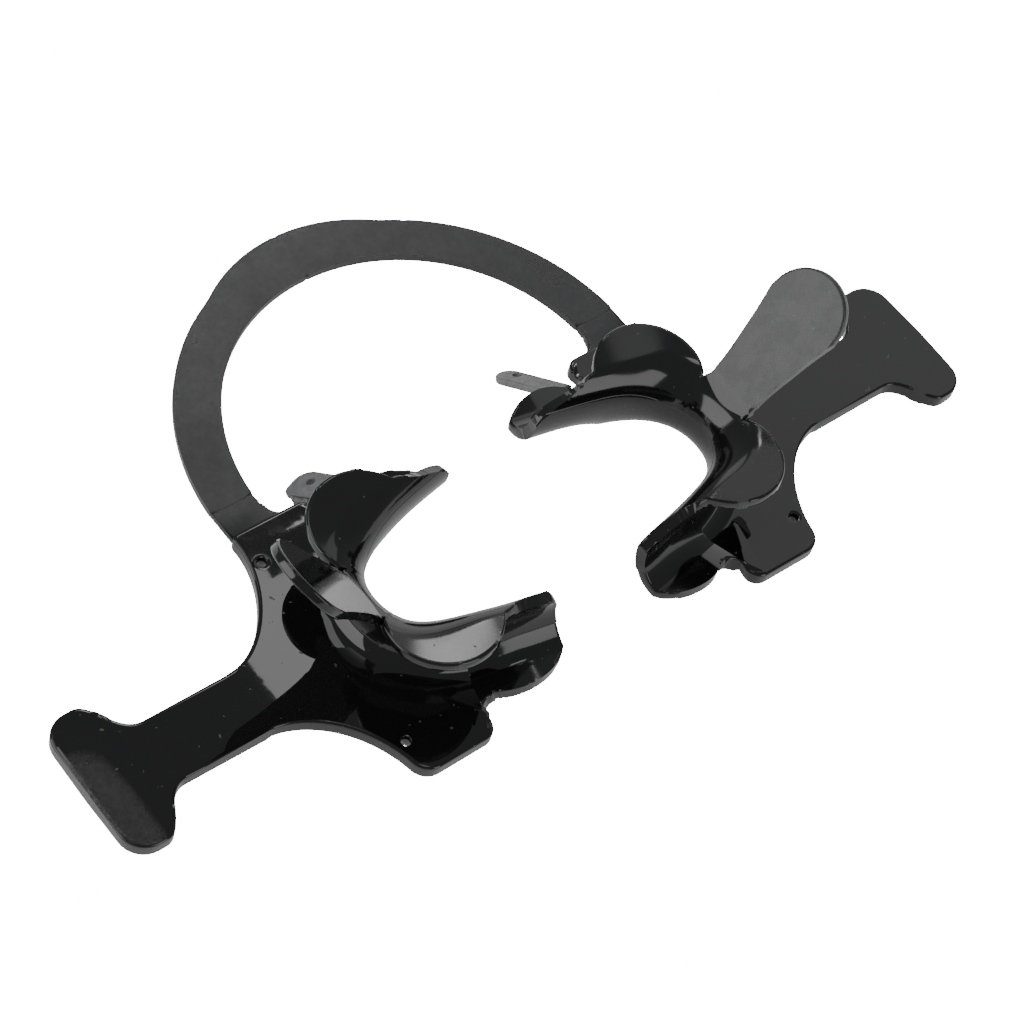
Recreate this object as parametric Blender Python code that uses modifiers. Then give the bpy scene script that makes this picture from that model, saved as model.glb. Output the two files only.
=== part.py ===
"""Cheek retractor: two mirrored lip-and-cheek retractors joined by a springy bow.

The plates and the bow lie flat in one plane. X runs from the left retractor to the
right one, +Y points at the top of the bow, and +Z is the side that the lip wings and
the cheek paddles stand on. Lengths in this file are millimetres until MM turns them
into Blender's metres. A shape is drawn for the right side, and side = -1 mirrors it.
"""
import math

import bmesh
import bpy
from mathutils import Vector

MM = 0.001
GAP = 0.35                      # clearance between neighbouring solids

# Whole object
HALF_WIDTH = 85.0               # middle of the bow to the outer edge of a finger handle
PLATE = 2.5                     # thickness of the handles and the face plates
EDGE_ROUND = 0.45               # rounding along the edges of the flat pieces
COLLECTION = "cheek_retractor"
SHIFT = (0.0, -23.25, 8.08)     # puts the origin under the middle of the whole object

# Bow: a flat ribbon around BOW_Y, with a deeper crescent between its two flex points
BOW_Y = 28.3
BOW_INNER = 33.6
BOW_OUTER = 41.0
CROWN_Y = 41.4
CROWN_RADIUS = 29.8
BOW_THICK = 1.8
BOW_DROP = 0.3                  # the ribbon's top face lies this far under the plates'
BOW_FOOT_Y = 30.4               # where the ribbon meets its root on each plate
FLEX_ANGLE = math.radians(26.2)
SOCKET_TRIM = math.radians(50)   # the crown's ends are square beyond this much of the socket

# Handle: a T with a round-ended bar
HANDLE_Y = -0.4
ARM_HALF = 5.7
ARM_END_X = 56.0
BAR_HALF = 12.7
BAR_INNER_X = 77.2
BAR_ROUND = 4.5
NECK_X = 74.4
NECK_ROUND = 3.2

# Face plate: two lobes around the lip channel
LOBE_OUTER_X = 41.3
LOBE_INNER_X = 26.3
LOBE_TOP_Y = 25.4
LOBE_BOTTOM_Y = -24.7
TIE_HOLE = (39.8, 18.7)         # place of each small hole, mirrored about Y
TIE_HOLE_RADIUS = 0.85

# Lip channel: a U-shaped groove that follows a C around the mouth's corner
CHANNEL_Y = 0.5
CHANNEL_PATH = ((33.6, 0.0), (33.6, 8.6), (25.0, 11.2), (9.0, 14.0))
WALL = 2.0
GUTTER_START = 0.65             # place along the path where the plate ends
WAIST_ANGLE = math.radians(40)  # the channel's wall ends here and the flanges begin
LIP_END = 0.75                  # place where the wing runs out into a low lip
SCOOP_CENTRE = (17.5, 12.7)     # the outer edge of a gutter is a part of a circle
SCOOP_RADIUS = 9.2

# Flanges that go inside the lips and the cheek
WING_CENTRE = (28.5, 9.7)
WING_RADIUS = 9.3
WING_THICK = 1.7
WING_START = 0.2
WING_FINISH = 0.85
PADDLE_LEAN = math.radians(38.5)
PADDLE_LENGTH = 29.0
PADDLE_ROUND = 7.5
PADDLE_WAIST = 5.3
PADDLE_THICK = 1.7

# Tie tab: a small bar that slopes down and back behind the upper gutter
TAB_ROOT = (21.5, 23.0, -1.0)
TAB_TIP = (21.3, 33.1, -7.57)
TAB_FACE = (0.19, 0.53, 0.83)
TAB_WIDTH = 5.5
TAB_THICK = 1.4
TAB_HOLE_RADIUS = 0.85
TAB_HOLE_INSET = 3.5            # from the tab's tip to the middle of its hole


def smooth_step(low, high, value):
    """0 below low, 1 above high, and a smooth ramp between them."""
    ramp = min(1.0, max(0.0, (value - low) / (high - low)))
    return ramp * ramp * (3.0 - 2.0 * ramp)


def spread(first, last, count):
    """count numbers from first to last, evenly spaced."""
    return [first + (last - first) * i / (count - 1) for i in range(count)]


def bezier(points, place):
    """Point and direction on a cubic curve through the plane."""
    a, b, c, d = (Vector(p) for p in points)
    rest = 1.0 - place
    point = a * rest**3 + b * 3 * rest**2 * place + c * 3 * rest * place**2 + d * place**3
    slope = (b - a) * 3 * rest**2 + (c - b) * 6 * rest * place + (d - c) * 3 * place**2
    return point, slope.normalized()


def arc(centre, radius, start, end, count):
    """Points on a circle's arc between two angles."""
    return [
        (centre[0] + radius * math.cos(turn), centre[1] + radius * math.sin(turn))
        for turn in spread(start, end, count)
    ]


def rounded(corners, steps=5):
    """Outline points of a polygon whose corners (x, y, radius) are rounded."""
    outline = []
    for i, (x, y, radius) in enumerate(corners):
        here = Vector((x, y))
        to_last = (Vector(corners[i - 1][:2]) - here).normalized()
        to_next = (Vector(corners[(i + 1) % len(corners)][:2]) - here).normalized()
        if radius == 0.0:
            outline.append((x, y))
            continue
        half = to_last.angle(to_next) / 2.0
        middle = here + (to_last + to_next).normalized() * radius / math.sin(half)
        first = here + to_last * radius / math.tan(half) - middle
        last = here + to_next * radius / math.tan(half) - middle
        start = math.atan2(first.y, first.x)
        turn = math.remainder(math.atan2(last.y, last.x) - start, math.tau)
        outline += arc(middle, radius, start, start + turn, steps)
    return outline


# ---------------------------------------------------------------- scene helpers

def clear_scene():
    for item in list(bpy.data.objects):
        bpy.data.objects.remove(item, do_unlink=True)


def new_collection(name):
    group = bpy.data.collections.new(name)
    bpy.context.scene.collection.children.link(group)
    return group


def plastic(name, colour, roughness):
    """Opaque moulded plastic."""
    material = bpy.data.materials.new(name)
    material.use_nodes = True
    shader = material.node_tree.nodes["Principled BSDF"]
    shader.inputs["Base Color"].default_value = (*colour, 1.0)
    shader.inputs["Roughness"].default_value = roughness
    shader.inputs["Metallic"].default_value = 0.0
    return material


def add_object(name, mesh, material, group, parent):
    """Put a mesh in the scene as one smooth-shaded sub-part."""
    item = bpy.data.objects.new(name, mesh)
    group.objects.link(item)
    item.parent = parent
    mesh.materials.clear()
    mesh.materials.append(material)
    mesh.shade_smooth()
    mesh.set_sharp_from_angle(angle=math.radians(35))
    return item


def local(point, origin):
    """A point in millimetres as metres from a parent's origin."""
    return Vector(point) * MM - Vector(origin) * MM


def flat_mesh(name, outline, bottom, thickness, origin, rounding=EDGE_ROUND):
    """Closed slab with rounded edges above an outline, cut from a filled 2D curve."""
    curve = bpy.data.curves.new(name, "CURVE")
    curve.dimensions = "2D"
    curve.fill_mode = "BOTH"
    curve.extrude = (thickness / 2.0 - rounding) * MM
    curve.bevel_depth = rounding * MM
    curve.bevel_resolution = 1
    curve.offset = -rounding * MM
    spline = curve.splines.new("POLY")
    spline.points.add(len(outline) - 1)
    for point, (x, y) in zip(spline.points, outline):
        point.co = (*local((x, y, 0.0), (origin[0], origin[1], 0.0)), 1.0)
    spline.use_cyclic_u = True
    holder = bpy.data.objects.new(name, curve)
    bpy.context.scene.collection.objects.link(holder)
    bpy.context.view_layer.update()
    seen = holder.evaluated_get(bpy.context.evaluated_depsgraph_get())
    mesh = bpy.data.meshes.new_from_object(seen)
    bpy.data.objects.remove(holder, do_unlink=True)
    cage = bmesh.new()
    cage.from_mesh(mesh)
    bmesh.ops.remove_doubles(cage, verts=cage.verts, dist=0.00001)
    lift = (bottom + thickness / 2.0 - origin[2]) * MM
    bmesh.ops.translate(cage, verts=cage.verts, vec=(0.0, 0.0, lift))
    bmesh.ops.recalc_face_normals(cage, faces=cage.faces)
    cage.to_mesh(mesh)
    cage.free()
    return mesh


def sheet_mesh(name, rows, side, origin):
    """Open surface through rows of right-hand points, mirrored for the left side."""
    cage = bmesh.new()
    grid = [[cage.verts.new(local((p[0] * side, p[1], p[2]), origin)) for p in row] for row in rows]
    for low, high in zip(grid, grid[1:]):
        for a, b, c, d in zip(low, low[1:], high[1:], high):
            cage.faces.new((a, b, c, d) if side > 0 else (d, c, b, a))
    mesh = bpy.data.meshes.new(name)
    cage.to_mesh(mesh)
    cage.free()
    return mesh


def thicken(item, thickness):
    """Turn an open surface into a shell of even thickness around it."""
    shell = item.modifiers.new("wall", "SOLIDIFY")
    shell.thickness = thickness * MM
    shell.offset = 0.0
    shell.use_even_offset = True
    return item


def drill(item, centre, radius, group, axis=(0.0, 0.0, 1.0)):
    """Cut a round hole right through a piece. centre is in millimetres."""
    mesh = bpy.data.meshes.new(item.name + "_drill")
    cage = bmesh.new()
    bmesh.ops.create_cone(
        cage, cap_ends=True, segments=20, radius1=radius * MM, radius2=radius * MM, depth=0.012
    )
    cage.to_mesh(mesh)
    cage.free()
    cutter = bpy.data.objects.new(mesh.name, mesh)
    group.objects.link(cutter)
    cutter.parent = item.parent
    cutter.location = local(centre, (0.0, 0.0, 0.0)) - item.parent.location
    cutter.rotation_mode = "QUATERNION"
    cutter.rotation_quaternion = Vector(axis).to_track_quat("Z", "Y")
    cutter.hide_render = True
    cutter.display_type = "WIRE"
    cut = item.modifiers.new("hole", "BOOLEAN")
    cut.operation = "DIFFERENCE"
    cut.solver = "EXACT"
    cut.object = cutter


# ---------------------------------------------------------------- lip channel

def path_point(place):
    """Point on the channel's C and its outward direction, place from -1 to 1."""
    point, along = bezier(CHANNEL_PATH, abs(place))
    flip = 1.0 if place >= 0.0 else -1.0
    outward = Vector((along.y, -along.x * flip))
    return Vector((point.x, point.y * flip + CHANNEL_Y)), outward


def section(place):
    """Heights and half widths of the channel's U: floor, waist, foot, top, shoulder."""
    narrow = smooth_step(0.25, 0.7, abs(place))
    lift = smooth_step(0.45, 0.85, abs(place))
    floor = -PLATE / 2.0 + 2.4 * lift
    waist = 5.75 + 1.9 * narrow
    foot = 7.0 - 1.4 * narrow
    top = 12.75 + 0.6 * narrow
    shoulder = 7.0 - 3.6 * narrow
    return floor, waist, foot, top, shoulder


def wall_profile(place, angle):
    """Reach and height on the channel's wall, from -90 degrees (floor) to 90 (top)."""
    floor, waist, foot, top, shoulder = section(place)
    if angle < 0.0:
        return foot * (1.0 - math.cos(angle)), waist + (waist - floor) * math.sin(angle)
    return shoulder * (1.0 - math.cos(angle)), waist + (top - waist) * math.sin(angle)


def channel_point(place, reach, height):
    point, outward = path_point(place)
    spot = point + outward * reach
    return (spot.x, spot.y, height)


def reach_to_circle(place, centre, radius):
    """How far out of the path its normal leaves a circle, 0 where it misses."""
    point, outward = path_point(place)
    flip = 1.0 if place >= 0.0 else -1.0
    away = point - Vector((centre[0], centre[1] * flip + CHANNEL_Y))
    across = away.dot(outward)
    inside = across * across - away.length_squared + radius * radius
    if inside <= 0.0:
        return 0.0
    return max(0.0, math.sqrt(inside) - across)


def lip_angle(place):
    """Where the low lip ends on the wall, falling towards the limb's tip."""
    fall = (abs(place) - LIP_END) / (1.0 - LIP_END)
    return math.radians(80.0 - 72.0 * max(0.0, fall))


def gutter_foot(place):
    """Profile of a gutter outside its wall: out to the scoop's round edge."""
    floor, waist, foot, top, shoulder = section(place)
    edge = reach_to_circle(place, SCOOP_CENTRE, SCOOP_RADIUS)
    if edge <= foot:
        lowest = -math.acos(1.0 - edge / foot)
        return [], lowest
    rise = 0.09
    flat = [(reach, floor + rise * (reach - foot)) for reach in spread(edge, foot, 4)[:-1]]
    return flat, -math.pi / 2.0


# ---------------------------------------------------------------- flat pieces

def handle_outline(side):
    """T-shaped finger handle."""
    upper = [
        (ARM_END_X + GAP / 2.0, ARM_HALF, 0.0),
        (NECK_X, ARM_HALF, NECK_ROUND),
        (BAR_INNER_X, BAR_HALF, BAR_ROUND),
        (HALF_WIDTH, BAR_HALF, BAR_ROUND),
    ]
    lower = [(x, -y, radius) for x, y, radius in reversed(upper)]
    return [(x * side, y + HANDLE_Y) for x, y in rounded(upper + lower)]


def flank(lobe_y, lobe_x, pull):
    """Sweeping edge from the arm out to a lobe, as points from arm to lobe."""
    sign = 1.0 if lobe_y > 0.0 else -1.0
    start = (ARM_END_X - GAP / 2.0, HANDLE_Y + ARM_HALF * sign)
    points = (start, (start[0] - 7.0, start[1]), (lobe_x + pull, lobe_y - 10.0 * sign), (lobe_x, lobe_y))
    return [tuple(bezier(points, place)[0]) for place in spread(0.0, 1.0, 9)]


def face_plate_outline(side):
    """Plate around the channel: a lobe above it and a lobe below it."""
    margin = GAP + 0.1
    inner = []
    for place in spread(-GUTTER_START, GUTTER_START, 19):
        reach = section(place)[2] + margin
        inner.append(channel_point(place, reach, 0.0)[:2])
    notch = channel_point(GUTTER_START, 9.4, 0.0)[:2]
    low_notch = channel_point(-GUTTER_START, 9.4, 0.0)[:2]
    top = rounded([
        (LOBE_OUTER_X, LOBE_TOP_Y - 4.0, 0.0),
        (LOBE_OUTER_X, LOBE_TOP_Y, 1.2),
        (LOBE_INNER_X, LOBE_TOP_Y, 2.4),
        (LOBE_INNER_X, notch[1] + 0.6, 0.0),
    ])[1:]
    bottom = rounded([
        (LOBE_INNER_X, low_notch[1] - 0.6, 0.0),
        (LOBE_INNER_X, LOBE_BOTTOM_Y, 2.4),
        (LOBE_OUTER_X - 0.2, LOBE_BOTTOM_Y, 4.2),
        (LOBE_OUTER_X - 0.2 + 0.9, LOBE_BOTTOM_Y + 7.0, 0.0),
    ])[:-1]
    outline = flank(LOBE_TOP_Y - 4.0, LOBE_OUTER_X, 0.2)
    outline += top
    outline += [notch] + list(reversed(inner)) + [low_notch]
    outline += bottom
    outline += list(reversed(flank(LOBE_BOTTOM_Y + 7.0, LOBE_OUTER_X + 0.7, 1.4)))
    return [(x * side, y) for x, y in outline]


def flex_point(side):
    """Middle of the ribbon where a half of the object bends against the crown."""
    radius = (BOW_INNER + BOW_OUTER) / 2.0
    return (side * radius * math.sin(FLEX_ANGLE), BOW_Y + radius * math.cos(FLEX_ANGLE))


def bow_arm_outline(side):
    """Ribbon from its root round to a disc on the flex point."""
    foot = BOW_FOOT_Y + GAP
    half = (BOW_OUTER - BOW_INNER) / 2.0
    centre = (0.0, BOW_Y)
    low = math.asin((foot - BOW_Y) / BOW_OUTER)
    low_inner = math.asin((foot - BOW_Y) / BOW_INNER)
    high = math.pi / 2.0 - FLEX_ANGLE
    outline = arc(centre, BOW_OUTER, low, high, 13)
    outline += arc(flex_point(1.0), half, high, high + math.pi, 10)[1:-1]
    outline += arc(centre, BOW_INNER, high, low_inner, 13)
    return [(x * side, y) for x, y in outline]


def crown_outline():
    """Crescent between the two flex points, with a socket for each arm's disc."""
    socket = (BOW_OUTER - BOW_INNER) / 2.0 + GAP
    high = math.pi / 2.0 - FLEX_ANGLE
    right = arc(flex_point(1.0), socket, high + math.pi - SOCKET_TRIM, high + SOCKET_TRIM, 8)
    tip = math.acos(right[-1][0] / CROWN_RADIUS)
    crest = arc((0.0, CROWN_Y), CROWN_RADIUS, tip, math.pi / 2.0, 8)
    inner = arc((0.0, BOW_Y), BOW_INNER, math.pi / 2.0, math.acos(right[0][0] / BOW_INNER), 7)
    half_outline = inner + right + crest
    mirrored = [(-x, y) for x, y in reversed(half_outline[1:-1])]
    return half_outline + mirrored


def root_outline(side):
    """Block that carries the ribbon's foot, with a fillet into the plate."""
    corners = [
        (LOBE_OUTER_X, LOBE_TOP_Y + GAP, 0.0),
        (LOBE_OUTER_X + 0.3, BOW_FOOT_Y, 0.0),
        (BOW_INNER - 0.3, BOW_FOOT_Y, 0.0),
        (BOW_INNER - 0.5, LOBE_TOP_Y + 2.0, 1.5),
        (BOW_INNER - 3.1, LOBE_TOP_Y + 1.6, 0.0),
        (BOW_INNER - 3.1, LOBE_TOP_Y + GAP, 0.0),
    ]
    return [(x * side, y) for x, y in rounded(corners)]


# ---------------------------------------------------------------- shell pieces

def throat_rows():
    """Wall round the mouth's corner, from the plate up to the flanges."""
    rows = []
    for place in spread(-GUTTER_START, GUTTER_START, 25):
        angles = spread(-math.pi / 2.0, WAIST_ANGLE, 9)
        rows.append([channel_point(place, *wall_profile(place, angle)) for angle in angles])
    return rows


def gutter_rows(sign):
    """Limb of the C beyond the plate, out to its tip."""
    rows = []
    for place in spread(GUTTER_START + 0.012, 1.0, 11):
        flat, lowest = gutter_foot(place)
        highest = min(WAIST_ANGLE, lip_angle(place))
        wall = [wall_profile(place, angle) for angle in spread(lowest, highest, 11 - len(flat))]
        rows.append([channel_point(place * sign, reach, height) for reach, height in flat + wall])
    return rows


def wing_profile(place):
    """Flange from the channel's wall out to the wing's round edge."""
    floor, waist, foot, top, shoulder = section(place)
    start = WAIST_ANGLE + math.radians(4)
    edge = reach_to_circle(place, WING_CENTRE, WING_RADIUS)
    bend_end = math.radians(85)
    bend_reach, bend_height = wall_profile(place, bend_end)
    if edge > bend_reach + 0.3:
        bend = [wall_profile(place, angle) for angle in spread(start, bend_end, 4)]
        flat = [
            (reach, bend_height + 0.1 * (reach - bend_reach))
            for reach in spread(bend_reach, edge, 4)[1:]
        ]
        return bend + flat
    last = min(bend_end, lip_angle(place))
    if edge > 0.3:
        last = min(last, max(start + 0.1, math.acos(max(-1.0, 1.0 - edge / shoulder))))
    last = max(last, start + 0.12)
    return [wall_profile(place, angle) for angle in spread(start, last, 7)]


def wing_rows(sign):
    """Half-round wing that lies over the groove."""
    rows = []
    for place in spread(WING_START, WING_FINISH, 15):
        profile = wing_profile(place)
        rows.append([channel_point(place * sign, reach, height) for reach, height in profile])
    return rows


def paddle_half_width(rise):
    """Half width of the cheek paddle at a distance up its slope."""
    round_start = PADDLE_LENGTH - PADDLE_ROUND
    if rise > round_start:
        return math.sqrt(max(0.0, PADDLE_ROUND**2 - (rise - round_start) ** 2))
    return PADDLE_WAIST + (PADDLE_ROUND - PADDLE_WAIST) * smooth_step(4.0, round_start, rise)


def paddle_rows():
    """Long round-ended flange for the cheek, leaning outwards."""
    base_reach, base_height = wall_profile(0.0, WAIST_ANGLE)
    base_x = CHANNEL_PATH[0][0] + base_reach
    rows = []
    round_start = PADDLE_LENGTH - PADDLE_ROUND
    rises = spread(0.6, round_start, 8)
    rises += [round_start + PADDLE_ROUND * math.sin(turn) for turn in spread(0.0, 1.45, 7)[1:]]
    for rise in rises:
        half = paddle_half_width(rise)
        cup = 0.04 * (1.0 - smooth_step(0.0, 16.0, rise))
        row = []
        for across in spread(-half, half, 7):
            row.append((
                base_x + math.sin(PADDLE_LEAN) * rise - cup * across**2,
                CHANNEL_Y + across,
                base_height + math.cos(PADDLE_LEAN) * rise,
            ))
        rows.append(row)
    return rows


def tab_frame():
    """Root, length, long direction and face direction of the right-hand tie tab."""
    run = Vector(TAB_TIP) - Vector(TAB_ROOT)
    along = run.normalized()
    tilt = Vector(TAB_FACE)
    face = (tilt - along * tilt.dot(along)).normalized()
    return Vector(TAB_ROOT), run.length, along, face


# ---------------------------------------------------------------- assembly

def build_bow(group, base, materials):
    origin = (0.0, BOW_Y, 0.0)
    crown_base = empty("crown_origin", origin, group, base)
    bottom = -BOW_DROP - BOW_THICK
    mesh = flat_mesh("bow_crown", crown_outline(), bottom, BOW_THICK, origin)
    add_object("bow_crown", mesh, materials["bow"], group, crown_base)


def empty(name, place, group, parent=None):
    """Named origin for the pieces that hang on it."""
    item = bpy.data.objects.new(name, None)
    group.objects.link(item)
    item.parent = parent
    item.location = Vector(place) * MM
    return item


def build_tab(label, side, group, cutters, origin, parent, material):
    root, length, along, face = tab_frame()
    across = along.cross(face)
    half = TAB_WIDTH / 2.0
    outline = [(0.0, -half)]
    outline += arc((length - half, 0.0), half, -math.pi / 2.0, math.pi / 2.0, 13)
    outline += [(0.0, half)]
    mesh = flat_mesh(label + "_tie_tab", outline, -TAB_THICK / 2.0, TAB_THICK, (0.0, 0.0, 0.0), 0.3)
    for vertex in mesh.vertices:
        lengthwise, sidewise, up = vertex.co / MM
        spot = root + along * lengthwise + across * sidewise + face * up
        vertex.co = local((spot.x * side, spot.y, spot.z), origin)
    if side > 0:
        mesh.flip_normals()
    item = add_object(label + "_tie_tab", mesh, material, group, parent)
    hole = root + along * (length - TAB_HOLE_INSET)
    axis = (face.x * side, face.y, face.z)
    drill(item, (hole.x * side, hole.y, hole.z), TAB_HOLE_RADIUS, cutters, axis)


def build_side(label, side, group, cutters, base, materials):
    """One retractor with its half of the bow, hung on its flex point."""
    origin = (*flex_point(side), 0.0)
    parent = empty(label + "_flex_point", origin, group, base)
    black = materials[label]

    def flat(name, outline, bottom, thickness, material):
        mesh = flat_mesh(label + name, outline, bottom, thickness, origin)
        return add_object(label + name, mesh, material, group, parent)

    def shell(name, rows, thickness):
        mesh = sheet_mesh(label + name, rows, side, origin)
        return thicken(add_object(label + name, mesh, black, group, parent), thickness)

    flat("_bow_arm", bow_arm_outline(side), -BOW_DROP - BOW_THICK, BOW_THICK, materials["bow"])
    flat("_bow_root", root_outline(side), -PLATE, PLATE - 0.2, materials["bow"])
    flat("_finger_handle", handle_outline(side), -PLATE, PLATE, black)
    plate = flat("_face_plate", face_plate_outline(side), -PLATE, PLATE, black)
    for sign in (1.0, -1.0):
        drill(plate, (TIE_HOLE[0] * side, TIE_HOLE[1] * sign + 0.3, 0.0), TIE_HOLE_RADIUS, cutters)
    shell("_corner_channel", throat_rows(), WALL)
    shell("_upper_lip_gutter", gutter_rows(1.0), WALL)
    shell("_lower_lip_gutter", gutter_rows(-1.0), WALL)
    shell("_upper_lip_wing", wing_rows(1.0), WING_THICK)
    shell("_lower_lip_wing", wing_rows(-1.0), WING_THICK)
    shell("_cheek_paddle", paddle_rows(), PADDLE_THICK)
    build_tab(label, side, group, cutters, origin, parent, materials["tab"])


def main():
    clear_scene()
    group = new_collection(COLLECTION)
    cutters = new_collection("cutters")
    materials = {
        "bow": plastic("satin_bow", (0.075, 0.075, 0.08), 0.42),
        "left": plastic("gloss_black_left", (0.008, 0.008, 0.009), 0.12),
        "right": plastic("gloss_black_right", (0.01, 0.01, 0.011), 0.15),
        "tab": plastic("satin_tab", (0.05, 0.05, 0.052), 0.35),
    }
    base = empty("whole_object", SHIFT, group)
    build_bow(group, base, materials)
    build_side("left", -1.0, group, cutters, base, materials)
    build_side("right", 1.0, group, cutters, base, materials)


main()
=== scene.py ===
"""Looks of the cheek retractor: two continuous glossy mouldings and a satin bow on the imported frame."""

import math

import bmesh
import bpy
from mathutils import Matrix, Vector


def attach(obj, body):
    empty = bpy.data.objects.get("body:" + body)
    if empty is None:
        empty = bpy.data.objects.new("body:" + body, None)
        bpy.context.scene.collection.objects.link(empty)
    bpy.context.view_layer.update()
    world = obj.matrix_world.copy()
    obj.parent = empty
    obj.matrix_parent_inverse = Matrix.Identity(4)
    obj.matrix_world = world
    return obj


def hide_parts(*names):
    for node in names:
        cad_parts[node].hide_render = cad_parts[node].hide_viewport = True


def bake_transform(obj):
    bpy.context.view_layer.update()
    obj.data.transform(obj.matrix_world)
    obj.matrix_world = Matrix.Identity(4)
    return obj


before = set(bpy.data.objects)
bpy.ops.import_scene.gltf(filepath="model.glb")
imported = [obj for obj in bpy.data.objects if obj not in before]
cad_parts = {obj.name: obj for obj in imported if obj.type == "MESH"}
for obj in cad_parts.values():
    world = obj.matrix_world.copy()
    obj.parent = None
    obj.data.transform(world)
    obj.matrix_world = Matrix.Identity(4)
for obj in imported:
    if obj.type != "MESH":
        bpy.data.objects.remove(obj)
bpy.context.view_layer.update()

MM = 0.001
SHIFT = Vector((0.0, -23.25, 8.08))     # the frame's origin, in the millimetres used below

# Bow
BOW_Y = 28.3
BOW_INNER = 33.35
BOW_OUTER = 41.2
CROWN_Y = 41.4
CROWN_RADIUS = 29.8
BOW_THICK = 1.3
BOW_DROP = 0.45
BOW_FOOT_Y = 30.4
FLEX_ANGLE = math.radians(26.2)

# Plate and handle
PLATE = 2.7
HANDLE_Y = -0.4
TIE_HOLE = (39.8, 18.7)
TIE_HOLE_RADIUS = 0.82

# Channel
CHANNEL_Y = 0.5
CHANNEL_PATH = ((33.6, 0.0), (33.6, 8.6), (25.0, 11.2), (9.0, 14.0))
PLATE_END = 0.65                # place along the path where the plate ends
NOTCH = 0.168                   # place of the notch between a wing and the paddle
SCOOP_CENTRE = (16.9, 12.3)
SCOOP_RADIUS = 9.6
SCOOP_JOIN = (                  # (place, reach) of the gutter's rim where it leaves the plate
    (0.65, 11.0), (0.66, 10.0), (0.68, 9.05), (0.70, 8.8), (0.74, 8.0),
)
TIP_FLARE = 0.5                 # how far the gutter runs past the wall at a limb's tip
WING_CENTRE = (28.6, 9.75)
WING_RADIUS = 9.35
LIP_LINE = (                    # (place, degree) of the lip that falls towards a limb's tip
    (0.70, 85.0), (0.77, 76.0), (0.82, 57.0), (0.866, 44.0),
    (0.92, 34.0), (0.96, 24.0), (0.985, 16.0), (1.0, 4.0),
)
FLAT_STEP = 0.1                 # millimetres of flat flange per degree of the profile's parameter

# Paddle
PADDLE_LEAN = math.radians(39.0)
PADDLE_BASE = (35.24, 0.25, 10.25)
PADDLE_STRAIGHT = 21.6
PADDLE_ROUND = 7.35
PADDLE_THICK = 1.65
PADDLE_WIDTHS = (               # (height along the paddle, half width)
    (3.0, 5.85), (3.7, 5.6), (5.0, 5.0), (7.5, 4.85),
    (11.0, 5.25), (13.3, 5.65), (17.0, 6.3), (21.6, 7.35),
)
SPLIT_CENTRE = 56.0
SPLIT_EDGE = 70.0

# Tie tabs, with outlines in their own plane: (x, y, corner radius) round the middle of the hole
TAB_HOLE = (21.35, 30.16, -5.54)
TAB_FACE = (0.19, 0.53, 0.83)
TAB_THICK = 1.3
TAB_HOLE_RADIUS = 0.82
TAB_OUTLINES = {
    "left": ((2.6, 10.6, 0.0), (2.7, -3.75, 2.9), (-3.45, -3.75, 1.5), (-3.3, 9.2, 0.0)),
    "right": ((-2.4, 10.2, 0.0), (4.3, -1.45, 2.3), (0.2, -3.85, 2.3), (-6.6, 7.8, 0.0)),
}

# Mesh rows and the rounding of edges
ROWS_SCOOP = 14
ROWS_WALL = 34
ROWS_WING = 20
ROWS_PADDLE = 44
MOULDING_ROUND = 0.42
RIBBON_ROUND = 0.4
TAB_ROUND = 0.35
FOOT_ROUND = 0.3
HOLE_ROUND = 0.08

PLASTIC_IOR = 1.5


# ---------------------------------------------------------------- numbers

def smooth_step(low, high, value):
    ramp = min(1.0, max(0.0, (value - low) / (high - low)))
    return ramp * ramp * (3.0 - 2.0 * ramp)


def spread(first, last, count):
    return [first + (last - first) * i / (count - 1) for i in range(count)]


def spaced(first, last, count, edge):
    """Even values whose last step is wider, so that a rounded edge has room."""
    room = math.copysign(min(edge, abs(last - first) * 0.5), last - first)
    return spread(first, last - room, count - 1) + [last]


def table(pairs, value):
    """Value on the smooth curve through the pairs of a small table."""
    if value <= pairs[0][0]:
        return pairs[0][1]
    if value >= pairs[-1][0]:
        return pairs[-1][1]
    steps = [(b[1] - a[1]) / (b[0] - a[0]) for a, b in zip(pairs, pairs[1:])]
    slopes = [steps[0]] + [(a + b) / 2.0 for a, b in zip(steps, steps[1:])] + [steps[-1]]
    for i, ((x0, y0), (x1, y1)) in enumerate(zip(pairs, pairs[1:])):
        if value <= x1:
            t = (value - x0) / (x1 - x0)
            wide = x1 - x0
            bend = slopes[i] * wide * t * (1.0 - t)**2 - slopes[i + 1] * wide * t * t * (1.0 - t)
            return y0 + (y1 - y0) * t * t * (3.0 - 2.0 * t) + bend


def bezier(points, place):
    a, b, c, d = (Vector(p) for p in points)
    rest = 1.0 - place
    point = a * rest**3 + b * 3 * rest**2 * place + c * 3 * rest * place**2 + d * place**3
    slope = (b - a) * 3 * rest**2 + (c - b) * 6 * rest * place + (d - c) * 3 * place**2
    return point, slope.normalized()


def arc(centre, radius, start, end, count):
    return [
        (centre[0] + radius * math.cos(turn), centre[1] + radius * math.sin(turn))
        for turn in spread(start, end, count)
    ]


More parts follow.
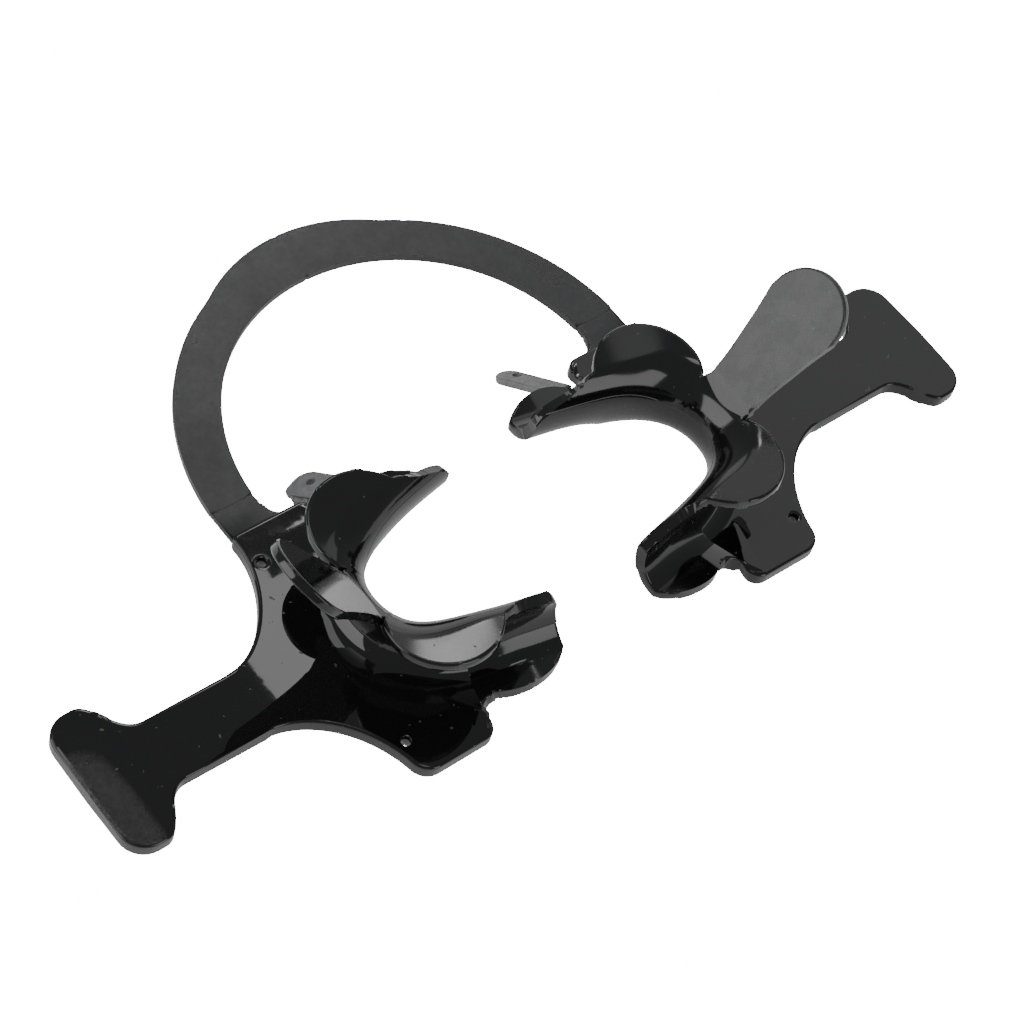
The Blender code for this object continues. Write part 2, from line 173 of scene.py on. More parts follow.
def rounded(corners, steps=9, closed=True):
    """Outline points of a polygon whose corners (x, y, radius) are rounded."""
    outline = []
    for i, (x, y, radius) in enumerate(corners):
        if radius == 0.0 or (not closed and i in (0, len(corners) - 1)):
            outline.append((x, y))
            continue
        here = Vector((x, y))
        to_last = (Vector(corners[i - 1][:2]) - here).normalized()
        to_next = (Vector(corners[(i + 1) % len(corners)][:2]) - here).normalized()
        half = to_last.angle(to_next) / 2.0
        middle = here + (to_last + to_next).normalized() * radius / math.sin(half)
        first = here + to_last * radius / math.tan(half) - middle
        last = here + to_next * radius / math.tan(half) - middle
        start = math.atan2(first.y, first.x)
        turn = math.remainder(math.atan2(last.y, last.x) - start, math.tau)
        outline += arc(middle, radius, start, start + turn, steps)
    return outline


def place_point(x, y, z, side=1.0):
    """A design point in millimetres as metres in the frame."""
    return (Vector((x * side, y, z)) + SHIFT) * MM


# ---------------------------------------------------------------- channel surface

def path_point(place):
    point, along = bezier(CHANNEL_PATH, abs(place))
    flip = 1.0 if place >= 0.0 else -1.0
    outward = Vector((along.y, -along.x * flip))
    return Vector((point.x, point.y * flip + CHANNEL_Y)), outward


def section(place):
    """Heights and half widths of the channel's U."""
    narrow = smooth_step(0.25, 0.7, abs(place))
    lift = math.sin(math.pi / 2.0 * min(1.0, max(0.0, (abs(place) - PLATE_END) / 0.25)))
    floor = -PLATE / 2.0 + 2.4 * lift
    waist = 5.75 + 1.9 * narrow
    foot = 7.0 - 1.4 * narrow
    top = 12.95 + 0.4 * narrow
    shoulder = 6.75 - 3.35 * narrow
    return floor, waist, foot, top, shoulder


def profile(place, degree):
    """Reach and height on the U: flat below -90 degrees, an arc up to 85, and flat above."""
    floor, waist, foot, top, shoulder = section(place)
    if degree < -90.0:
        return foot + (-90.0 - degree) * FLAT_STEP, floor + (-90.0 - degree) * FLAT_STEP * 0.06
    turn = math.radians(min(degree, 85.0))
    if degree < 0.0:
        return foot * (1.0 - math.cos(turn)), waist + (waist - floor) * math.sin(turn)
    reach = shoulder * (1.0 - math.cos(turn))
    height = waist + (top - waist) * math.sin(turn)
    over = max(0.0, degree - 85.0) * FLAT_STEP
    return reach + over, height + over * 0.1


def surface(place, degree):
    point, outward = path_point(place)
    reach, height = profile(place, degree)
    along = Vector((-outward.y, outward.x)) * (1.0 if place >= 0.0 else -1.0)
    flare = TIP_FLARE * smooth_step(0.86, 1.0, abs(place)) * smooth_step(0.0, -60.0, degree)
    spot = point + outward * reach + along * flare
    return Vector((spot.x, spot.y, height))


def reach_to_circle(place, centre, radius):
    point, outward = path_point(place)
    flip = 1.0 if place >= 0.0 else -1.0
    away = point - Vector((centre[0], centre[1] * flip + CHANNEL_Y))
    across = away.dot(outward)
    inside = across * across - away.length_squared + radius * radius
    if inside <= 0.0:
        return 0.0
    return max(0.0, math.sqrt(inside) - across)


def scoop_rim(place):
    """Profile parameter of the gutter's outer edge."""
    floor, waist, foot, top, shoulder = section(place)
    edge = reach_to_circle(place, SCOOP_CENTRE, SCOOP_RADIUS)
    if abs(place) < SCOOP_JOIN[-1][0]:
        join = table(SCOOP_JOIN, abs(place))
        edge = (edge + join + math.sqrt((edge - join)**2 + 0.02)) / 2.0
    if edge >= foot:
        return -90.0 - (edge - foot) / FLAT_STEP
    return -math.degrees(math.acos(1.0 - edge / foot))


def wing_rim(place):
    """Profile parameter of the upper edge: the wing's disc, then the falling lip."""
    floor, waist, foot, top, shoulder = section(place)
    lip = table(LIP_LINE, abs(place))
    edge = reach_to_circle(place, WING_CENTRE, WING_RADIUS)
    bend = shoulder * (1.0 - math.cos(math.radians(85.0)))
    if abs(place) > 0.80 or edge <= 0.0:
        disc = 0.0
    elif edge >= bend:
        disc = 85.0 + (edge - bend) / FLAT_STEP
    else:
        disc = math.degrees(math.acos(1.0 - edge / shoulder))
    if abs(place) < 0.5:
        return disc
    gap = disc - lip
    return (disc + lip + math.sqrt(gap * gap + 60.0)) / 2.0


def share_degree(place):
    """Profile parameter of the row shared by the gutter and the wall."""
    beyond = max(0.0, (abs(place) - PLATE_END) / (1.0 - PLATE_END))
    return -90.0 + 52.0 * beyond


def split_degree(place):
    """Profile parameter where the wall ends and the wing or the paddle begins."""
    inner = min(1.0, abs(place) / NOTCH)
    if inner < 1.0:
        return SPLIT_CENTRE + (SPLIT_EDGE - SPLIT_CENTRE) * inner**2
    low = share_degree(place)
    return min(SPLIT_EDGE, low + 0.93 * (wing_rim(place) - low))


def wall_thickness(place, degree):
    limb = smooth_step(PLATE_END, 0.85, abs(place))
    foot = PLATE - (PLATE - 1.9) * limb
    if degree < -90.0:
        return foot
    if degree < 0.0:
        return foot + (2.0 - foot) * smooth_step(-90.0, -40.0, degree)
    return 2.0 - 0.35 * smooth_step(20.0, 70.0, degree)


def column_places():
    """Places of the mesh columns, with wide steps at the notches and beside the plate's end."""
    upper = [NOTCH * v for v in spaced(0.0, 1.0, 13, 0.15)]
    upper = [-v for v in reversed(upper[1:])] + upper
    between = list(reversed(spaced(PLATE_END, NOTCH, 44, 0.024)))[1:]
    beyond = spaced(PLATE_END, 1.0, 62, 0.0135)[1:]
    return [-p for p in reversed(between + beyond)] + upper + between + beyond


def paddle_point(base, across, step):
    """Point on the cheek paddle over a base point; across is -1 to 1 and step 0 to 1."""
    start = (base.z - PADDLE_BASE[2]) / math.cos(PADDLE_LEAN)
    turn = across * math.pi / 2.0
    rise = start + step * (PADDLE_STRAIGHT + PADDLE_ROUND * math.cos(turn) - start)
    half = table(PADDLE_WIDTHS, 3.7 + step * (PADDLE_STRAIGHT - 3.7))
    wide = PADDLE_BASE[1] + half * ((1.0 - step) * across + step * math.sin(turn))
    settle = smooth_step(0.0, 0.10, step)
    y = base.y * (1.0 - settle) + wide * settle
    off = base.x - PADDLE_BASE[0] - math.sin(PADDLE_LEAN) * start
    x = PADDLE_BASE[0] + math.sin(PADDLE_LEAN) * rise + off * (1.0 - smooth_step(0.0, 0.04, step))
    return Vector((x, y, PADDLE_BASE[2] + math.cos(PADDLE_LEAN) * rise))


# ---------------------------------------------------------------- plate outline

def handle_outline():
    """Outline of the finger handle above its axis, from the T's end to the plate."""
    arm = HANDLE_Y + 5.7
    bar = HANDLE_Y + 12.75
    neck = ((79.2, bar), (76.0, bar), (75.5, arm), (71.2, arm))
    outline = rounded([(85.0, HANDLE_Y, 0.0), (85.0, bar, 4.4), (79.2, bar, 0.0)], closed=False)
    outline += [tuple(bezier(neck, place)[0]) for place in spread(0.0, 1.0, 20)[1:]]
    return outline + [(56.5, arm)]


def upper_outline(rim_point):
    """The whole outline above the axis, down to the upper gutter's rim."""
    flank = ((55.5, 5.4), (49.5, 5.4), (41.8, 14.0), (41.3, 23.0))
    points = handle_outline()
    points += [tuple(bezier(flank, place)[0]) for place in spread(0.0, 1.0, 26)]
    points += rounded([
        (41.3, 23.0, 0.0),
        (41.35, 25.45, 1.3),
        (26.3, 25.4, 2.2),
        (rim_point[0], rim_point[1], 0.0),
    ], closed=False)[1:-1]
    return points


def lower_outline(rim_point):
    """The same below the axis, where the plate has no bow root."""
    points = [(x, 2.0 * HANDLE_Y - y) for x, y in handle_outline()][1:]
    flank = ((55.5, -6.1), (50.0, -6.9), (43.8, -12.0), (41.5, -20.5))
    points += [tuple(bezier(flank, place)[0]) for place in spread(0.0, 1.0, 22)]
    points += rounded([
        (41.5, -20.5, 0.0),
        (40.6, -24.7, 3.4),
        (26.2, -24.6, 2.5),
        (rim_point[0], rim_point[1], 0.0),
    ], closed=False)[1:-1]
    return points


# ---------------------------------------------------------------- mesh building

def thicken(cage, thickness_of, crisp=()):
    """Closed solid around an open surface, with the edges to round and the crisp ones.

    thickness_of gives the thickness at a vertex in millimetres.
    """
    cage.normal_update()
    normals = {v: v.normal.copy() for v in cage.verts}
    rim = [e for e in cage.edges if e.is_boundary]
    top = {}
    low = {}
    solid = bmesh.new()
    for vertex in cage.verts:
        half = thickness_of(vertex) * MM / 2.0
        top[vertex] = solid.verts.new(vertex.co + normals[vertex] * half)
        low[vertex] = solid.verts.new(vertex.co - normals[vertex] * half)
    for face in cage.faces:
        solid.faces.new([top[v] for v in face.verts])
        solid.faces.new([low[v] for v in reversed(face.verts)])
    sharp = []
    fine = []
    for edge in rim:
        loop = edge.link_loops[0]
        a = loop.vert
        b = edge.other_vert(a)
        solid.faces.new((top[b], top[a], low[a], low[b]))
        kind = fine if edge in crisp else sharp
        kind.append((top[a], top[b]))
        kind.append((low[a], low[b]))
    return solid, [solid.edges.get(pair) for pair in sharp], [solid.edges.get(pair) for pair in fine]


def round_edges(solid, edges, width, segments=3):
    bmesh.ops.bevel(
        solid, geom=edges, offset=width * MM, offset_type="OFFSET", segments=segments,
        profile=0.5, affect="EDGES", clamp_overlap=False,
    )


def finish_mesh(name, solid, material, sharp_angle=50.0):
    bmesh.ops.recalc_face_normals(solid, faces=solid.faces)
    mesh = bpy.data.meshes.new(name)
    solid.to_mesh(mesh)
    solid.free()
    item = bpy.data.objects.new(name, mesh)
    bpy.context.scene.collection.objects.link(item)
    mesh.materials.append(material)
    mesh.shade_smooth()
    mesh.set_sharp_from_angle(angle=math.radians(sharp_angle))
    flat = item.modifiers.new("even_shading", "WEIGHTED_NORMAL")
    flat.mode = "FACE_AREA"
    flat.weight = 85
    flat.keep_sharp = True
    return item


def fill_outline(cage, loop_verts, hole_loops=(), margin=0.7):
    """Fill a flat outline, round its holes, with faces that look up and an even margin."""
    edges = []
    for loop in (loop_verts, *hole_loops):
        for a, b in zip(loop, loop[1:] + loop[:1]):
            edge = cage.edges.get((a, b)) or cage.edges.new((a, b))
            edges.append(edge)
    made = bmesh.ops.triangle_fill(cage, edges=edges, use_beauty=True, use_dissolve=False)
    faces = [f for f in made["geom"] if isinstance(f, bmesh.types.BMFace)]
    cage.normal_update()
    for face in faces:
        if face.normal.z < 0.0:
            face.normal_flip()
    bmesh.ops.inset_region(
        cage, faces=faces, thickness=margin * MM, depth=0.0, use_boundary=True, use_even_offset=True,
    )


def quads(cage, low, high, side):
    """Faces between two rows of vertices; side keeps them facing the same way."""
    for a, b, c, d in zip(low, low[1:], high[1:], high):
        cage.faces.new((a, b, c, d) if side < 0 else (d, c, b, a))


def tube(cage, rings):
    """Faces round a run of closed rings, with both ends capped."""
    for low, high in zip(rings, rings[1:]):
        for a, b, c, d in zip(low, low[1:] + low[:1], high[1:] + high[:1], high):
            cage.faces.new((a, b, c, d))
    cage.faces.new(rings[0])
    cage.faces.new(list(reversed(rings[-1])))


def ring(cage, centre, radius, height, side, count=28):
    return [
        cage.verts.new(place_point(x, y, height, side))
        for x, y in arc(centre, radius, 0.0, math.tau * (count - 1) / count, count)
    ]


def build_moulding(label, side, material):
    """Handle, face plate, channel, wings and paddle as one continuous solid."""
    cage = bmesh.new()
    thick = cage.verts.layers.float.new("thick")
    places = column_places()

    def point(spot, thickness):
        vertex = cage.verts.new(place_point(spot.x, spot.y, spot.z, side))
        vertex[thick] = thickness
        return vertex

    wall = []
    for place in places:
        degrees = spread(share_degree(place), split_degree(place), ROWS_WALL)
        wall.append([point(surface(place, d), wall_thickness(place, d)) for d in degrees])

    for low, high in zip(wall, wall[1:]):
        quads(cage, low, high, side)

    # wings and falling lips
    last = {}
    for column, place in zip(wall, places):
        if abs(place) < NOTCH - 1e-9:
            continue
        degrees = spaced(split_degree(place), wing_rim(place), ROWS_WING, 6.5)[1:]
        tip = [point(surface(place, d), wall_thickness(place, d)) for d in degrees]
        last[place] = [column[-1]] + tip
    ordered = sorted(last)
    for a, b in zip(ordered, ordered[1:]):
        if a < 0.0 < b:
            continue
        quads(cage, last[a], last[b], side)

    # paddle
    tongue = []
    for column, place in zip(wall, places):
        if abs(place) > NOTCH + 1e-9:
            continue
        base = surface(place, split_degree(place))
        spots = [paddle_point(base, place / NOTCH, step) for step in spread(0.0, 1.0, ROWS_PADDLE)[1:]]
        tongue.append([column[-1]] + [point(spot, PADDLE_THICK) for spot in spots])
    for low, high in zip(tongue, tongue[1:]):
        quads(cage, low, high, side)

    # gutters
    rims = {}
    for sign in (1.0, -1.0):
        scoop = []
        for column, place in zip(wall, places):
            if place * sign < PLATE_END - 1e-9:
                continue
            degrees = spaced(share_degree(place), scoop_rim(place), ROWS_SCOOP, 6.5)[1:]
            outer = [point(surface(place, d), wall_thickness(place, d)) for d in reversed(degrees)]
            scoop.append(outer + [column[0]])
        for low, high in zip(scoop, scoop[1:]):
            quads(cage, low, high, side)
        rims[sign] = scoop[0] if sign > 0 else scoop[-1]

    # plate
    foot = [c[0] for c, place in zip(wall, places) if abs(place) < PLATE_END + 1e-9]
    corner = {}
    for sign in (1.0, -1.0):
        spot = surface(PLATE_END * sign, scoop_rim(PLATE_END * sign))
        corner[sign] = (spot.x, spot.y)
    height = -PLATE / 2.0
    high_side = [point(Vector((x, y, height)), PLATE) for x, y in upper_outline(corner[1.0])]
    low_side = [point(Vector((x, y, height)), PLATE) for x, y in lower_outline(corner[-1.0])]
    loop = high_side + rims[1.0][:-1] + list(reversed(foot)) + list(reversed(rims[-1.0][:-1]))
    loop += list(reversed(low_side))
    holes = []
    for sign in (1.0, -1.0):
        hole = ring(cage, (TIE_HOLE[0], TIE_HOLE[1] * sign + 0.3), TIE_HOLE_RADIUS, height, side)
        for vertex in hole:
            vertex[thick] = PLATE
        holes.append(hole)
    fill_outline(cage, loop, holes)
    for vertex in cage.verts:
        vertex[thick] = vertex[thick] or PLATE
    bmesh.ops.remove_doubles(cage, verts=cage.verts, dist=0.000001)
    cage.normal_update()
    drilled = {v for hole in holes for v in hole}
    fine = {e for e in cage.edges if e.is_boundary and all(v in drilled for v in e.verts)}
    for column, place in zip(wall, places):
        if abs(abs(place) - NOTCH) < 1e-9:
            fine.update(e for e in column[-1].link_edges if e.is_boundary)
    solid, edges, fine_edges = thicken(cage, lambda v: v[thick], crisp=fine)
    round_edges(solid, edges, MOULDING_ROUND)
    round_edges(solid, [e for e in fine_edges if e.is_valid], HOLE_ROUND, 2)
    cage.free()
    item = finish_mesh(label + "_retractor_moulding", solid, material)
    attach(item, label + "_retractor")
    nodes = ("finger_handle", "face_plate", "corner_channel", "upper_lip_gutter", "lower_lip_gutter",
             "upper_lip_wing", "lower_lip_wing", "cheek_paddle")
    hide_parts(*[label + "_" + node for node in nodes])
    return item


def build_root(label, side, material):
    """Block between the ribbon's seam and the plate, lower than the plate's face."""
    corners = [
        (41.15, 24.6, 0.0),
        (41.2, BOW_FOOT_Y + 0.35, 0.0),
        (33.35, BOW_FOOT_Y + 0.35, 0.0),
        (33.25, 28.6, 1.5),
        (32.2, 25.6, 2.6),
        (29.0, 25.0, 0.0),
        (29.0, 24.4, 0.0),
    ]
    height = -BOW_DROP - BOW_THICK / 2.0
    cage = bmesh.new()
    loop = [cage.verts.new(place_point(x, y, height, side)) for x, y in rounded(corners)]
    fill_outline(cage, loop)
    solid, edges, _ = thicken(cage, lambda v: BOW_THICK - 0.08)
    round_edges(solid, edges, FOOT_ROUND)
    cage.free()
    item = finish_mesh(label + "_bow_foot", solid, material)
    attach(item, label + "_retractor")
    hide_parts(label + "_bow_root")
    return item


def build_bow_half(label, side, material):
    """Half of the flat springy ribbon, from the crown's middle to the root."""
    high = math.pi / 2.0 - FLEX_ANGLE
    low_in = math.asin((BOW_FOOT_Y - BOW_Y) / BOW_INNER)
    low_out = math.asin((BOW_FOOT_Y - BOW_Y) / BOW_OUTER)
    kink_x = BOW_OUTER * math.cos(high)
    tip = math.acos(kink_x / CROWN_RADIUS)
    inner = arc((0.0, BOW_Y), BOW_INNER, math.pi / 2.0, high, 30)
    inner += arc((0.0, BOW_Y), BOW_INNER, high, low_in, 60)[1:]
    outer = arc((0.0, CROWN_Y), CROWN_RADIUS, math.pi / 2.0, tip, 30)
    outer += arc((0.0, BOW_Y), BOW_OUTER, high, low_out, 60)[1:]
    outer = ease(outer, 26, 34, 10)
    cage = bmesh.new()
    height = -BOW_DROP - BOW_THICK / 2.0
    rows = []
    for (x0, y0), (x1, y1) in zip(inner, outer):
        row = [(x0 + (x1 - x0) * t, y0 + (y1 - y0) * t) for t in spread(0.0, 1.0, 5)]
        rows.append([cage.verts.new(place_point(x, y, height, side)) for x, y in row])
    for low, high_row in zip(rows, rows[1:]):
        quads(cage, low, high_row, side)
    cage.faces.ensure_lookup_table()
    cage.normal_update()
    if cage.faces[0].normal.z < 0.0:
        bmesh.ops.reverse_faces(cage, faces=cage.faces)
    middle = {e for e in cage.edges if e.is_boundary and all(v in rows[0] for v in e.verts)}
    solid, edges, _ = thicken(cage, lambda v: BOW_THICK, crisp=middle)
    round_edges(solid, edges, RIBBON_ROUND)
    cage.free()
    item = finish_mesh(label + "_bow_half", solid, material)
    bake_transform(item)
    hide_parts("bow_crown", label + "_bow_arm")
    return item


def ease(points, first, last, turns):
    """Soften a short stretch of an outline."""
    points = [Vector(p) for p in points]
    for turn in range(turns):
        for i in range(first, last):
            points[i] = points[i] * 0.5 + (points[i - 1] + points[i + 1]) * 0.25
    return [tuple(p) for p in points]


def tab_frame():
    """The tab plane's origin, its two directions and its normal."""
    face = Vector(TAB_FACE).normalized()
    level = face.cross(Vector((0.0, 0.0, 1.0))).normalized()
    level = level if level.x < 0.0 else -level
    return Vector(TAB_HOLE), level, face.cross(level), face


def tab_spot(lengthwise, sidewise, up, side):
    origin, level, slope, face = tab_frame()
    spot = origin + level * lengthwise + slope * sidewise + face * up
    return place_point(spot.x, spot.y, spot.z, side)


def build_tab(label, side, material):
    """Small sloping bar with a hole, growing out of the upper gutter's rim."""
    cage = bmesh.new()
    outline = rounded(TAB_OUTLINES[label], 14)
    hole = arc((0.0, 0.0), TAB_HOLE_RADIUS, 0.0, math.tau * 27 / 28, 28)
    loops = [[cage.verts.new((x * MM, y * MM, 0.0)) for x, y in loop] for loop in (outline, hole)]
    fill_outline(cage, loops[0], loops[1:])
    drilled = {e for e in cage.edges if e.is_boundary and all(v in loops[1] for v in e.verts)}
    solid, edges, hole_edges = thicken(cage, lambda v: TAB_THICK, crisp=drilled)
    round_edges(solid, edges, TAB_ROUND)
    round_edges(solid, [e for e in hole_edges if e.is_valid], HOLE_ROUND, 2)
    cage.free()
    for vertex in solid.verts:
        x, y, z = vertex.co / MM
        vertex.co = tab_spot(x, y, z - TAB_THICK / 2.0, side)
    item = finish_mesh(label + "_tie_tab_bar", solid, material)
    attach(item, label + "_retractor")
    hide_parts(label + "_tie_tab")
    return item


def build_torn_edge(material):
    """Ragged remains of a gate along the left tab's outer side."""
    cage = bmesh.new()
    count, rows = 34, 9
    grid = []
    for i in range(count):
        along = -2.3 + 6.6 * i / (count - 1)
        ends = min(1.0, 5.0 * min(i, count - 1 - i) / (count - 1) + 0.15)
        column = []
        for j in range(rows):
            round_off = math.sin(math.pi * j / (rows - 1))
            rough = hash_noise(i, j) * 0.34
            out = -3.25 - ends * (0.25 + 0.55 * round_off + rough)
            drop = -0.25 - 2.0 * j / (rows - 1) * (0.75 + 0.25 * ends) + (hash_noise(j, i) - 0.5) * 0.12
            column.append(cage.verts.new(tab_spot(out, along + hash_noise(i + 7, j) * 0.08, drop, -1.0)))
        column.append(cage.verts.new(tab_spot(-2.9, along, -1.15, -1.0)))
        grid.append(column)
    tube(cage, grid)
    bmesh.ops.triangulate(cage, faces=[f for f in cage.faces if len(f.verts) > 4])
    item = finish_mesh("left_tab_torn_edge", cage, material, 30.0)
    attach(item, "left_retractor")
    return item


def hash_noise(i, j):
    """Repeatable number between 0 and 1 for a pair of whole numbers."""
    value = math.sin(i * 12.9898 + j * 78.233) * 43758.5453
    return value - math.floor(value)


def build_parting_line(label, side, material):
    """Fine moulding line along the inside of the C."""
    cage = bmesh.new()
    rows = []
    for place in spread(-0.97, 0.97, 150):
        centre = 16.0 + 10.0 * smooth_step(0.25, 0.7, abs(place))
        tilt = math.radians(centre)
        outward = path_point(place)[1] * math.cos(tilt)
        inward = Vector((-outward.x, -outward.y, math.sin(tilt) * 0.6)).normalized()
        row = []
        for turn in spread(0.0, math.tau * 5.0 / 6.0, 6):
            depth = 0.93 + 0.10 * math.cos(turn)
            spot = surface(place, centre + math.sin(turn) * 1.1) + inward * depth
            row.append(cage.verts.new(place_point(spot.x, spot.y, spot.z, side)))
        rows.append(row)
    tube(cage, rows)
    item = finish_mesh(label + "_parting_line", cage, material)
    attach(item, label + "_retractor")
    return item


# ---------------------------------------------------------------- materials

class Recipe:
    """Small helper that adds and joins the nodes of one material."""

    def __init__(self, name):
        self.material = bpy.data.materials.new(name)
        self.material.use_nodes = True
        self.nodes = self.material.node_tree.nodes
        self.links = self.material.node_tree.links
        self.shader = self.nodes["Principled BSDF"]
        self.place = self.nodes.new("ShaderNodeTexCoord").outputs["Object"]

    def noise(self, scale, detail=2.0, roughness=0.5):
        node = self.nodes.new("ShaderNodeTexNoise")
        node.inputs["Scale"].default_value = scale
        node.inputs["Detail"].default_value = detail
        node.inputs["Roughness"].default_value = roughness
        self.links.new(self.place, node.inputs["Vector"])
        return node.outputs["Fac"]

    def stretch(self, value, low, high, to_low=0.0, to_high=1.0):
        """Value eased from the range low to high onto the range to_low to to_high."""
        node = self.nodes.new("ShaderNodeMapRange")
        node.interpolation_type = "SMOOTHSTEP"
        self.links.new(value, node.inputs["Value"])
        for key, number in zip(("From Min", "From Max", "To Min", "To Max"), (low, high, to_low, to_high)):
            node.inputs[key].default_value = number
        return node.outputs["Result"]

    def maths(self, operation, a, b=0.0):
        node = self.nodes.new("ShaderNodeMath")
        node.operation = operation
        for socket, value in zip(node.inputs, (a, b)):
            if isinstance(value, float):
                socket.default_value = value
            else:
                self.links.new(value, socket)
        return node.outputs["Value"]

    def blend(self, share, low, high):
        """Number that goes from low to high as share goes from 0 to 1."""
        return self.maths("ADD", low, self.maths("MULTIPLY", share, self.maths("SUBTRACT", high, low)))

    def axis(self, name):
        node = self.nodes.new("ShaderNodeSeparateXYZ")
        self.links.new(self.place, node.inputs["Vector"])
        return node.outputs[name]

    def bump(self, height, depth, below=None):
        node = self.nodes.new("ShaderNodeBump")
        node.inputs["Strength"].default_value = 1.0
        node.inputs["Distance"].default_value = depth
        self.links.new(height, node.inputs["Height"])
        if below is not None:
            self.links.new(below, node.inputs["Normal"])
        return node.outputs["Normal"]

    def colour(self, share, dark, light):
        node = self.nodes.new("ShaderNodeMix")
        node.data_type = "RGBA"
        self.links.new(share, node.inputs["Factor"])
        node.inputs["A"].default_value = (*dark, 1.0)
        node.inputs["B"].default_value = (*light, 1.0)
        self.links.new(node.outputs["Result"], self.shader.inputs["Base Color"])

    def finish(self, roughness, normal):
        self.links.new(roughness, self.shader.inputs["Roughness"])
        self.links.new(normal, self.shader.inputs["Normal"])
        self.shader.inputs["IOR"].default_value = PLASTIC_IOR
        return self.material


def gloss_black():
    """Polished moulded black: mirror-like plates, softer walls, a worn handle end and matt paddles."""
    make = Recipe("gloss_black_plastic")
    paddle = make.maths(
        "MULTIPLY",
        make.stretch(make.axis("X"), 0.0365, 0.0380),
        make.stretch(make.axis("Z"), 0.0212, 0.0228),
    )
    worn = make.maths(
        "MULTIPLY",
        make.stretch(make.axis("X"), -0.0782, -0.0845),
        make.stretch(make.axis("Y"), -0.0160, -0.0280),
    )
    cloud = make.noise(32.0, 4.0, 0.6)
    mottle = make.noise(260.0, 6.0, 0.65)
    dust = make.stretch(make.noise(820.0, 1.0), 0.745, 0.775)
    flat = make.stretch(cloud, 0.3, 0.7, 0.012, 0.026)
    curved = make.stretch(cloud, 0.3, 0.7, 0.075, 0.125)
    rough = make.blend(make.stretch(make.axis("Z"), 0.0083, 0.0105), flat, curved)
    specks = make.maths("MULTIPLY", worn, make.stretch(make.noise(4800.0, 2.0, 0.6), 0.45, 0.60))
    rough = make.blend(specks, rough, 0.22)
    rough = make.blend(dust, rough, 0.35)
    matt = make.stretch(mottle, 0.35, 0.65, 0.25, 0.38)
    rough = make.blend(paddle, rough, matt)
    wave = make.bump(make.noise(52.0, 1.0), 0.000022)
    peel = make.bump(make.noise(650.0, 1.0), 0.0000007, wave)
    scuff = make.bump(specks, 0.000012, peel)
    grain = make.bump(make.maths("MULTIPLY", paddle, make.noise(1800.0, 2.0)), 0.000006, scuff)
    share = make.maths("MULTIPLY", paddle, mottle)
    share = make.maths("ADD", share, make.maths("MULTIPLY", dust, 0.7))
    make.colour(share, (0.0060, 0.0060, 0.0064), (0.064, 0.064, 0.066))
    return make.finish(rough, grain)


def satin(name, dark, light, low, high):
    """Finely grained grey-black plastic of the bow and the tabs."""
    make = Recipe(name)
    cloud = make.noise(40.0, 5.0, 0.6)
    grain = make.noise(2200.0, 2.0)
    rough = make.stretch(cloud, 0.3, 0.7, low, high)
    rough = make.blend(make.stretch(grain, 0.62, 0.72), rough, high + 0.12)
    wave = make.bump(make.noise(60.0, 1.0), 0.00005)
    normal = make.bump(grain, 0.000004, wave)
    make.colour(make.stretch(make.noise(420.0, 6.0, 0.7), 0.3, 0.75), dark, light)
    return make.finish(rough, normal)


# ---------------------------------------------------------------- stage

def sheet(name, radiance, height, camera, lighting):
    """Wide pale emitting floor that the camera sees, or that lights and is reflected."""
    mesh = bpy.data.meshes.new(name)
    mesh.from_pydata([(-4, -4, 0), (4, -4, 0), (4, 4, 0), (-4, 4, 0)], [], [(0, 1, 2, 3)])
    item = bpy.data.objects.new(name, mesh)
    bpy.context.scene.collection.objects.link(item)
    item.location.z = height
    material = bpy.data.materials.new(name)
    material.use_nodes = True
    shader = material.node_tree.nodes["Principled BSDF"]
    shader.inputs["Base Color"].default_value = (0.9, 0.9, 0.9, 1.0)
    shader.inputs["Roughness"].default_value = 0.9
    shader.inputs["Emission Color"].default_value = (1.0, 1.0, 1.0, 1.0)
    shader.inputs["Emission Strength"].default_value = radiance
    mesh.materials.append(material)
    item.visible_camera = camera
    item.visible_glossy = lighting
    item.visible_diffuse = lighting
    return item


def build_stage():
    floor = sheet("floor", 22.0, -0.0004, True, False)
    glow = sheet("floor_glow", 0.42, -0.0002, False, True)


def softbox(name, spot, size, radiance, aim=(0.0, 0.0, 0.0)):
    """Rectangular light that faces its aim; radiance is what a mirror would show of it."""
    light = bpy.data.lights.new(name, "AREA")
    light.shape = "RECTANGLE"
    light.size, light.size_y = size
    light.energy = radiance * math.pi * size[0] * size[1]
    item = bpy.data.objects.new(name, light)
    item.location = spot
    toward = Vector(spot) - Vector(aim)
    item.rotation_mode = "QUATERNION"
    item.rotation_quaternion = toward.to_track_quat("Z", "Y")
    item.visible_camera = False
    bpy.context.scene.collection.objects.link(item)
    return item


def overhead(name, across, along, radiance):
    """Level card one metre up, between two limits in X and two in Y."""
    middle = (sum(across) / 2.0, sum(along) / 2.0)
    size = (across[1] - across[0], along[1] - along[0])
    return softbox(name, (*middle, 1.0), size, radiance, (*middle, 0.0))


def from_angle(azimuth, elevation, distance=1.2):
    """Place round the object at an azimuth and an elevation in degrees."""
    turn, tilt = math.radians(azimuth), math.radians(elevation)
    level = distance * math.cos(tilt)
    return level * math.cos(turn), level * math.sin(turn), distance * math.sin(tilt)


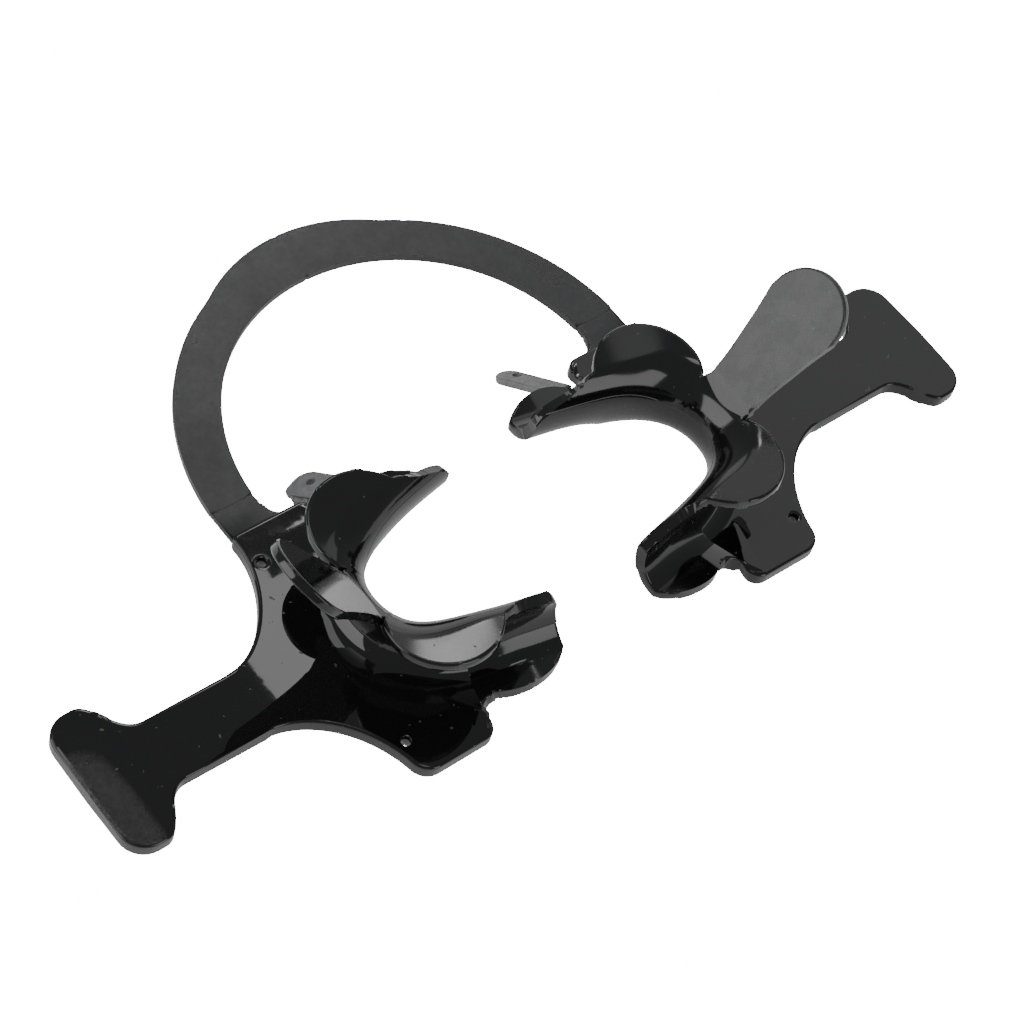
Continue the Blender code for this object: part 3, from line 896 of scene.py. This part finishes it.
def build_lights():
    """Pale surroundings, level cards that the plates mirror, and broad panels round the object."""
    world = bpy.data.worlds.new("studio")
    bpy.context.scene.world = world
    world.use_nodes = True
    back = world.node_tree.nodes["Background"]
    back.inputs["Color"].default_value = (0.95, 0.97, 1.0, 1.0)
    back.inputs["Strength"].default_value = 0.32
    overhead("window", (0.404, 0.4485), (0.370, 0.4705), 3.9)
    overhead("window_right", (0.4485, 0.480), (0.370, 0.4580), 3.9)
    overhead("window_edge", (0.404, 0.4082), (0.370, 0.440), 3.4)
    overhead("window_sill", (0.4095, 0.480), (0.438, 0.4575), 2.2)
    overhead("root_card", (0.4508, 0.4800), (0.4835, 0.5000), 6.5)
    overhead("bow_card", (0.400, 0.500), (0.530, 0.680), 4.2)
    overhead("end_card", (0.150, 0.285), (0.300, 0.430), 2.6)
    overhead("far_panel", (0.640, 1.500), (0.050, 1.150), 0.74)
    overhead("high_window", (0.500, 0.700), (0.612, 0.690), 11.0)
    overhead("top_box", (0.120, 0.280), (0.050, 0.170), 3.5)
    softbox("low_panel", from_angle(42.0, 16.0, 1.6), (1.1, 0.85), 1.0)
    softbox("front_strip", from_angle(-81.0, 24.0), (0.46, 0.95), 2.6)
    softbox("side_box", from_angle(150.0, 24.0), (0.95, 0.90), 3.2)
    softbox("back_box", from_angle(105.0, 62.0), (0.40, 0.40), 2.0)


def build_camera():
    """Long lens that looks down across the bow from the left handle's side."""
    data = bpy.data.cameras.new("camera")
    data.sensor_width = 36.0
    data.lens = 109.19
    item = bpy.data.objects.new("camera", data)
    right = Vector((0.7722, -0.6067, 0.1888))
    down = Vector((-0.4204, -0.7106, -0.5642))
    forward = Vector((0.4765, 0.3563, -0.8038))
    turn = Matrix((right, -down, -forward)).transposed().to_4x4()
    item.matrix_world = Matrix.Translation((Vector((-234.8, -169.4, 396.3)) + SHIFT) * MM) @ turn
    data.clip_start = 0.01
    data.clip_end = 20.0
    bpy.context.scene.collection.objects.link(item)
    bpy.context.scene.camera = item


black = gloss_black()
bow_satin = satin("satin_bow_plastic", (0.010, 0.010, 0.011), (0.020, 0.020, 0.021), 0.26, 0.34)
tab_satin = satin("satin_tab_plastic", (0.125, 0.125, 0.128), (0.190, 0.190, 0.194), 0.38, 0.50)
for label, side in (("left", -1.0), ("right", 1.0)):
    build_moulding(label, side, black)
    build_bow_half(label, side, bow_satin)
    build_root(label, side, bow_satin)
    build_tab(label, side, tab_satin)
    build_parting_line(label, side, black)
build_torn_edge(tab_satin)
build_stage()
build_lights()
build_camera()
